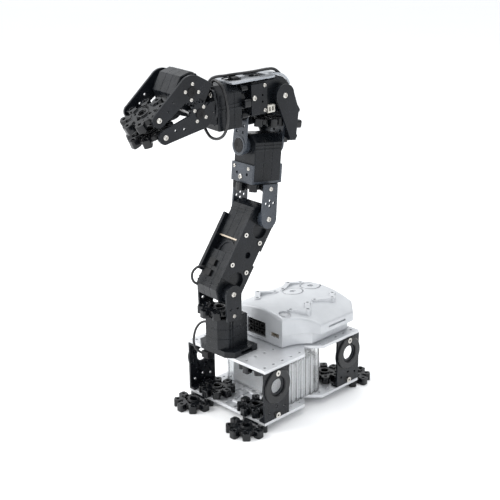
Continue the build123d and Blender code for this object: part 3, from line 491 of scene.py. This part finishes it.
def softbox(name, at, size, power, colour=(1, 1, 1)):
    """A soft rectangular light that faces the middle of the arm."""
    data = bpy.data.lights.new(name, "AREA")
    data.shape = "RECTANGLE"
    data.size, data.size_y = size
    data.energy = power
    data.color = colour
    light = bpy.data.objects.new(name, data)
    direction = LIT_AT - Vector(at)
    light.location = at
    light.rotation_euler = direction.to_track_quat("-Z", "Y").to_euler()
    bpy.context.scene.collection.objects.link(light)


softbox("key", (-0.75, -1.05, 0.95), (0.7, 0.8), 13.0, (1.0, 0.99, 0.975))
softbox("fill", (1.25, 0.35, 0.75), (0.5, 0.8), 2.5, (0.93, 0.96, 1.0))
softbox("overhead", (-0.1, 0.25, 1.35), (0.7, 0.7), 7.0)

SKY_BRIGHT_SIDE = (-0.62, -0.45, 0.64)
SKY_WEAK, SKY_STRONG = 0.45, 1.3


def soft_sky():
    """An even white sky that is brighter on the key light's side."""
    world = bpy.data.worlds.new("world")
    world.use_nodes = True
    bpy.context.scene.world = world
    tree = world.node_tree
    background = tree.nodes["Background"]
    background.inputs["Color"].default_value = (0.97, 0.985, 1.0, 1.0)
    place = tree.nodes.new("ShaderNodeTexCoord")
    side = tree.nodes.new("ShaderNodeVectorMath")
    side.operation = "DOT_PRODUCT"
    side.inputs[1].default_value = SKY_BRIGHT_SIDE
    strength = tree.nodes.new("ShaderNodeMapRange")
    strength.inputs["From Min"].default_value = -0.9
    strength.inputs["From Max"].default_value = 0.9
    strength.inputs["To Min"].default_value = SKY_WEAK
    strength.inputs["To Max"].default_value = SKY_STRONG
    tree.links.new(place.outputs["Generated"], side.inputs[0])
    tree.links.new(side.outputs["Value"], strength.inputs["Value"])
    tree.links.new(strength.outputs["Result"], background.inputs["Strength"])


def pale_floor():
    """A wide round floor of matt white."""
    disc = bmesh.new()
    bmesh.ops.create_circle(disc, cap_ends=True, segments=96, radius=14.0)
    mesh = bpy.data.meshes.new("floor")
    disc.to_mesh(mesh)
    disc.free()
    floor = bpy.data.objects.new("floor", mesh)
    bpy.context.scene.collection.objects.link(floor)
    n = Nodes("floor_white")
    colour = n.mixed(n.noise(3.0), (0.93, 0.935, 0.94), (0.95, 0.952, 0.955))
    roughness = n.spread(n.noise(9.0), 0.6, 0.75)
    mesh.materials.append(n.finish(colour, roughness, n.bump(n.noise(800.0), 0.0001, 0.1)))


soft_sky()
pale_floor()
bpy.context.scene.view_settings.view_transform = "Standard"

# ---- cords -------------------------------------------------------------------------------------
YAW_ROUTE = [
    (-18.5, -44.5, 60.5),
    (-22.0, -45.4, 60.2),
    (-24.6, -48.4, 56.2),
    (-25.3, -50.2, 50.6),
    (-25.2, -50.8, 44.6),
    (-23.4, -49.6, 39.9),
    (-19.6, -47.7, 38.6),
]
LINK_ROUTE = [
    (-8.2, -10.5, 8.2),
    (-8.6, -13.2, 8.6),
    (-9.6, -16.2, 6.2),
    (-10.2, -17.4, 2.4),
    (-10.0, -16.0, -1.4),
    (-9.2, -13.0, -3.6),
    (-8.6, -10.5, -3.4),
]
TOP_ROUTE = [
    (-2.4, -45.0, 11.1),
    (-2.0, -43.4, 13.7),
    (-1.6, -39.4, 14.7),
    (-1.6, -33.6, 14.2),
    (-2.8, -25.6, 13.9),
    (-2.6, -17.0, 13.6),
    (-1.6, -9.4, 13.7),
    (0.0, -2.6, 14.4),
    (1.8, 3.6, 14.2),
    (2.6, 6.6, 10.3),
]
SIDE_ROUTE = [
    (1.0, -45.0, 11.1),
    (2.4, -45.3, 13.7),
    (7.0, -45.2, 14.5),
    (11.8, -44.8, 11.5),
    (14.0, -43.8, 4.2),
    (14.3, -43.0, -4.4),
    (13.8, -43.4, -12.4),
    (10.2, -44.2, -19.0),
    (3.4, -45.0, -22.0),
    (-3.6, -45.4, -20.8),
    (-7.2, -45.6, -15.4),
]


def cord(name, body, local, route, radius):
    """A lead as one smooth NURBS curve through its route, in place of its CAD tube."""
    data = bpy.data.curves.new(name, "CURVE")
    data.dimensions = "3D"
    data.bevel_depth = radius * MM
    data.bevel_resolution = 5
    data.resolution_u = 10
    spline = data.splines.new("NURBS")
    spline.points.add(len(route) - 1)
    for point, at in zip(spline.points, route):
        point.co = (*(local @ Vector(at)), 1.0)
    spline.order_u = 3
    spline.use_endpoint_u = True
    data.use_fill_caps = True
    data.materials.append(cable)
    made = bpy.data.objects.new(name + "_cord", data)
    bpy.context.scene.collection.objects.link(made)
    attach(made, body)
    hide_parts(name)
    return made


# Each lead's body, frame, route, radius and length.
LEADS = [
    ("yaw_lead", "base", BASE, YAW_ROUTE, 0.8, 0.0302),
    ("link_lead", "lower_link", LINK, LINK_ROUTE, 0.8, None),
    ("top_lead", "forearm", FOREARM, TOP_ROUTE, 0.9, 0.0554),
    ("side_lead", "forearm", FOREARM, SIDE_ROUTE, 0.9, 0.0648),
]
for name, body, local, route, radius, length in LEADS:
    made = cord(name, body, local, route, radius)

# ---- refined CAD shapes ------------------------------------------------------------------------
HUBS = [
    "feet",
    "deck_hubs",
    "turret_hub",
    "elbow_hub",
    "tilt_hub",
    "wrist_back_hub",
    "forearm_hub",
    "upper_pad",
    "lower_pad",
]
for name in HUBS:
    refined(name)

# ---- screws ------------------------------------------------------------------------------------
# Each size is a head's radius, its height and half of its socket's width.
PIVOT = (1.9, 1.2, 0.85)
YOKE_ROOT = (1.3, 0.7, 0.6)
ELBOW_ROOT = (1.5, 0.8, 0.65)
CLIP_CORNER = (1.25, 0.7, 0.55)
CLIP_MIDDLE = (1.7, 0.9, 0.75)
EAR = (1.35, 0.7, 0.6)
CHEEK = (1.6, 0.8, 0.7)
GEAR = (1.15, 0.6, 0.5)
PAD = (1.7, 0.9, 0.7)
ARM_TIP_X, ARM_ROOT_X = 14.9, 15.55


def pair(at, direction, *sizes):
    """The same screw on both sides of a body."""
    x, y, z = at
    dx, dy, dz = direction
    return [((x, y, z), (dx, dy, dz), *sizes), ((-x, y, z), (-dx, dy, dz), *sizes)]


screws(
    "yoke_screws",
    "turret",
    TURRET,
    pair((ARM_TIP_X, 0, 86), (1, 0, 0), *PIVOT) + pair((ARM_ROOT_X, 0, 71.5), (1, 0, 0), *YOKE_ROOT),
)
screws(
    "elbow_screws",
    "upper_link",
    UPPER,
    pair((ARM_TIP_X, 0, 0), (1, 0, 0), *PIVOT) + pair((ARM_ROOT_X, 0, 19.5), (1, 0, 0), *ELBOW_ROOT),
)
CLIP_FRONT, CLIP_REAR = -11.5, 12.5
screws(
    "tilt_clip_screws",
    "upper_link",
    UPPER,
    [
        ((x, y, z), (0, way, 0), r, 0.7, r * 0.45)
        for y, way in ((CLIP_FRONT, -1), (CLIP_REAR, 1))
        for x, z, r in ((-7.6, 31.4, 1.25), (6.6, 31.4, 1.25), (-1.2, 25.4, 1.8))
    ],
)
# The wrist's pivot is the forearm frame's origin, but its screws turn with the carriage's cheeks.
screws("wrist_screws", "carriage", FOREARM, pair((ARM_TIP_X, 0, 0), (1, 0, 0), *PIVOT))
screws(
    "wrist_clip_screws",
    "forearm",
    FOREARM,
    pair((12.0, -13.4, 7.8), (1, 0, 0), *CLIP_CORNER)
    + pair((12.0, -13.4, -7.4), (1, 0, 0), *CLIP_CORNER)
    + pair((12.0, -21.4, 1.0), (1, 0, 0), *CLIP_MIDDLE),
)
EAR_RADIUS, DIAGONAL, ROLL_UP = 10.8, 0.7071, -0.9
screws(
    "hand_screws",
    "hand",
    FOREARM,
    [
        ((EAR_RADIUS * sx * DIAGONAL, -50.4, ROLL_UP + EAR_RADIUS * sz * DIAGONAL), (0, -1, 0), *EAR)
        for sx in (-1, 1)
        for sz in (-1, 1)
    ]
    + pair((11.9, -53.4, -2.2), (1, 0, 0), *CHEEK),
)


def around(radius, phase):
    """Four places around a gear's centre, in its finger's frame."""
    return [
        (radius * cos(radians(phase + 90 * k)), radius * sin(radians(phase + 90 * k))) for k in range(4)
    ]


FINGER_X, CHEEK_X = 15.7, 15.75
GEAR_SCREWS_RADIUS = 4.5
UPPER_PHASE, LOWER_PHASE = 53.1, 36.5
PAD_SCREW_Y = -26.0
for name, body, local, phase in (
    ("upper_gear_screws", "upper_finger", UPPER_FINGER, UPPER_PHASE),
    ("lower_gear_screws", "lower_finger", LOWER_FINGER, LOWER_PHASE),
):
    rows = []
    for y, z in around(GEAR_SCREWS_RADIUS, phase):
        rows += pair((FINGER_X, y, z), (1, 0, 0), *GEAR)
    rows += pair((FINGER_X, PAD_SCREW_Y, 0), (1, 0, 0), *PAD)
    screws(name, body, local, rows)


# ---- caps and rims -----------------------------------------------------------------------------
def caps(name, body, material, rows):
    """Turned caps: each row is a frame, a place, a direction and (height, radius) pairs."""
    mesh_maker = bmesh.new()
    for local, at, direction, profile in rows:
        lathe(mesh_maker, toward(local, at, direction), profile, RING_SIDES)
    return piece(name, mesh_maker, material, body)


def rim_section(inner, outer, height):
    """A raised rim with rounded edges around an open middle, as one closed section."""
    return [
        (0.0, inner),
        (0.0, outer),
        (height * 0.6, outer),
        (height, outer - 0.5),
        (height, inner + 0.6),
        (height * 0.55, inner),
    ]


def rims(name, body, material, rows):
    """Raised rims with an open middle: each row is a frame, a place, a direction, radii and a height."""
    mesh_maker = bmesh.new()
    for local, at, direction, inner, outer, height in rows:
        place = toward(local, at, direction)
        section = rim_section(inner, outer, height)
        loops = []
        for k in range(RING_SIDES):
            a = 2 * pi * k / RING_SIDES
            loops.append(
                [mesh_maker.verts.new(place @ Vector((r * cos(a), r * sin(a), h))) for h, r in section]
            )
        for k in range(RING_SIDES):
            here, after = loops[k], loops[(k + 1) % RING_SIDES]
            for n in range(len(section)):
                m = (n + 1) % len(section)
                mesh_maker.faces.new((here[n], after[n], after[m], here[m]))
    bmesh.ops.recalc_face_normals(mesh_maker, faces=mesh_maker.faces)
    return piece(name, mesh_maker, material, body)


BRACKET_X, RING_Y, RING_Z = 36.0, 35.1, 29.5
TILT_ARM_Y = 15.7
rims(
    "bracket_rims",
    "base",
    hub_black,
    [
        (BASE, (BRACKET_X * side, y, RING_Z), (side, 0, 0), 6.4, 11.4, 1.2)
        for side in (-1, 1)
        for y in (-RING_Y, RING_Y)
    ],
)
rims(
    "tilt_rims",
    "carriage",
    arm_blue,
    [(CARRIAGE, (0, TILT_ARM_Y * way, 0), (0, way, 0), 4.6, 6.2, 0.35) for way in (-1, 1)],
)
CAP = [(0.0, 4.4), (0.12, 4.5), (0.3, 4.3), (0.32, 2.6), (0.12, 2.2)]
caps(
    "tilt_caps",
    "carriage",
    dark_black,
    [(CARRIAGE, (0, TILT_ARM_Y * way, 0), (0, way, 0), CAP) for way in (-1, 1)],
)
SMALL_CAP = [(0.0, 2.9), (0.25, 3.0), (0.5, 2.7), (0.5, 1.3), (0.2, 1.1)]
caps(
    "upper_gear_caps",
    "upper_finger",
    dark_black,
    [(UPPER_FINGER, (FINGER_X * side, 0, 0), (side, 0, 0), SMALL_CAP) for side in (-1, 1)],
)
caps(
    "lower_gear_caps",
    "hand",
    dark_black,
    [(LOWER_FINGER, (CHEEK_X * side, 0, 0), (side, 0, 0), SMALL_CAP) for side in (-1, 1)],
)
BUTTON_RIM = [(0.0, 3.1), (0.12, 3.2), (0.22, 3.05), (0.22, 2.75), (0.05, 2.6)]
button_low, button_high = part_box("power_button")
button_middle = (button_low + button_high) / 2 / MM
caps(
    "button_face",
    "button",
    button_silver,
    [(BASE, (button_middle.x, button_middle.y, button_high.z / MM), (0, 0, 1), BUTTON_RIM)],
)
